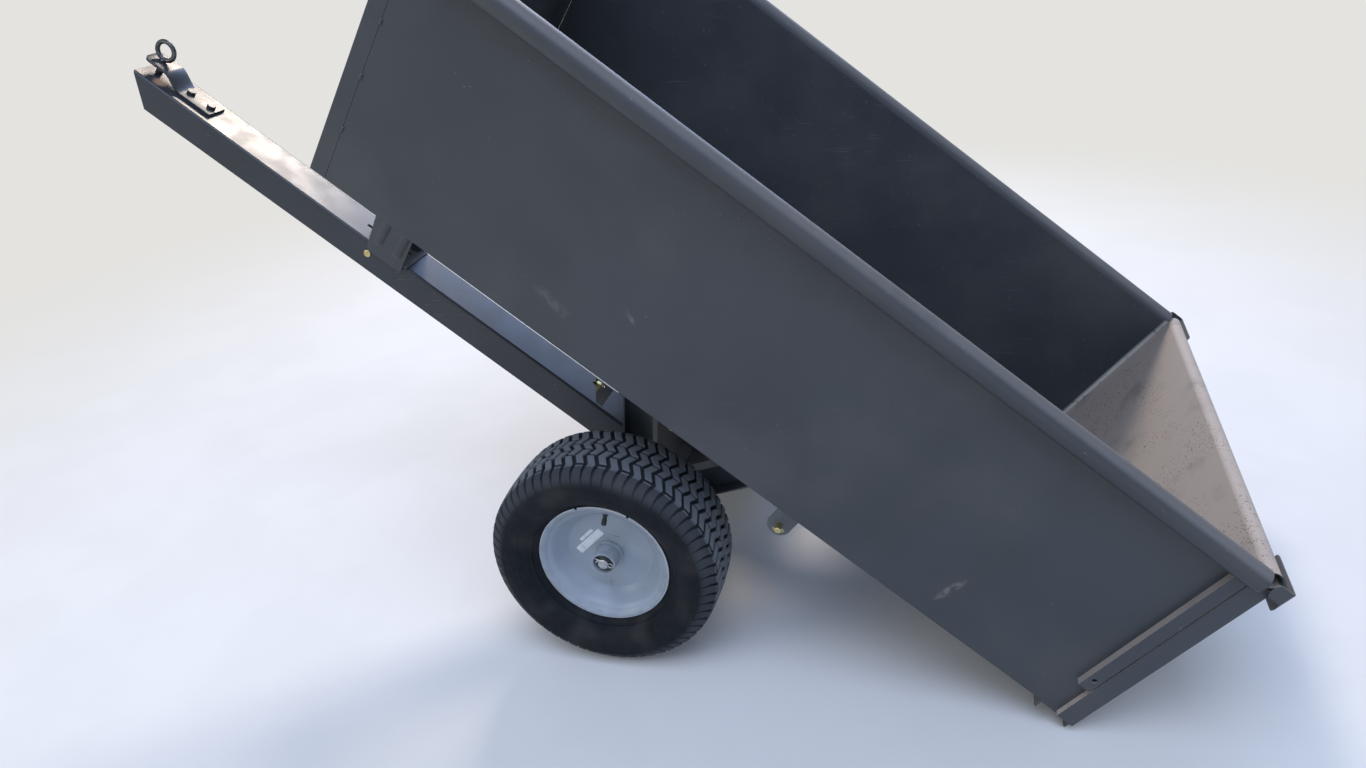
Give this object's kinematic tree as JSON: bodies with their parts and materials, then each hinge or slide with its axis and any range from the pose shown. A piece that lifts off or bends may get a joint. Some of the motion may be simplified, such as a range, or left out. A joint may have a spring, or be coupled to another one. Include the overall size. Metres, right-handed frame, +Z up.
{
  "type": "tow-behind dump cart",
  "caption": "Tow-behind steel dump cart: open bed with rolled rims and a lift-out tailgate, tipping about its axle over a channel tongue, on pressed wheels with turf tyres.",
  "frame": {"origin": "bottom centre of the bounding box, on the ground that wheels and tail stand on", "axes": "+X forward towards the hitch, +Y to the cart's left side, +Z up"},
  "size_m": [2.0428, 0.92, 1.2653],
  "materials": {
    "bed_paint": "satin grey powder coat, dusty and scratched",
    "tongue_paint": "satin grey powder coat",
    "wheel_paint": "light grey enamel",
    "tyre": "black rubber with dried dust",
    "valve_rubber": "moulded black rubber",
    "yellow_zinc": "yellow zinc plating",
    "axle_steel": "plain turned steel, slightly dull"
  },
  "bodies": {
    "cart": {"floor_panel": "bed_paint", "side_panel_left": "bed_paint", "side_panel_right": "bed_paint", "front_panel": "bed_paint", "rear_sill": "bed_paint", "gate_guide_left": "bed_paint", "gate_guide_right": "bed_paint", "floor_rib_front": "bed_paint", "floor_rib_rear": "bed_paint", "axle_strut_left": "tongue_paint", "axle_strut_right": "tongue_paint", "axle_shaft": "axle_steel", "axle_spacers": "axle_steel", "axle_cotters": "axle_steel", "latch_stand": "bed_paint", "latch_lever": "bed_paint", "latch_pivot": "yellow_zinc", "floor_lugs": "bed_paint", "lug_pins": "yellow_zinc"},
    "tongue": {"tongue_channel": "tongue_paint", "tongue_sleeve": "tongue_paint", "hitch_strap": "tongue_paint", "strap_bolts": "yellow_zinc", "hitch_pin": "axle_steel", "latch_pin": "yellow_zinc", "slot_pin": "yellow_zinc"},
    "tailgate": {"gate_panel": "bed_paint", "gate_hooks": "bed_paint", "gate_caps": "bed_paint"},
    "wheel_left": {"wheel_left_tyre": "tyre", "wheel_left_rim": "wheel_paint", "wheel_left_hub": "wheel_paint", "wheel_left_valve": "valve_rubber"},
    "wheel_right": {"wheel_right_tyre": "tyre", "wheel_right_rim": "wheel_paint", "wheel_right_hub": "wheel_paint", "wheel_right_valve": "valve_rubber"}
  },
  "joints": [
    {"name": "tongue_hinge", "type": "hinge", "parent": "cart", "child": "tongue", "pos_m": [0.0016, 0, 0.206], "axis": [0, 1, 0], "range_deg": [0, 44]},
    {"name": "gate_slide", "type": "slide", "parent": "cart", "child": "tailgate", "axis": [-0.6199, 0, 0.7847], "range_m": [0, 0.232]},
    {"name": "wheel_left_spin", "type": "hinge", "parent": "cart", "child": "wheel_left", "pos_m": [0.0016, 0.338, 0.206], "axis": [0, 1, 0], "continuous": true},
    {"name": "wheel_right_spin", "type": "hinge", "parent": "cart", "child": "wheel_right", "pos_m": [0.0016, -0.338, 0.206], "axis": [0, 1, 0], "continuous": true}
  ]
}
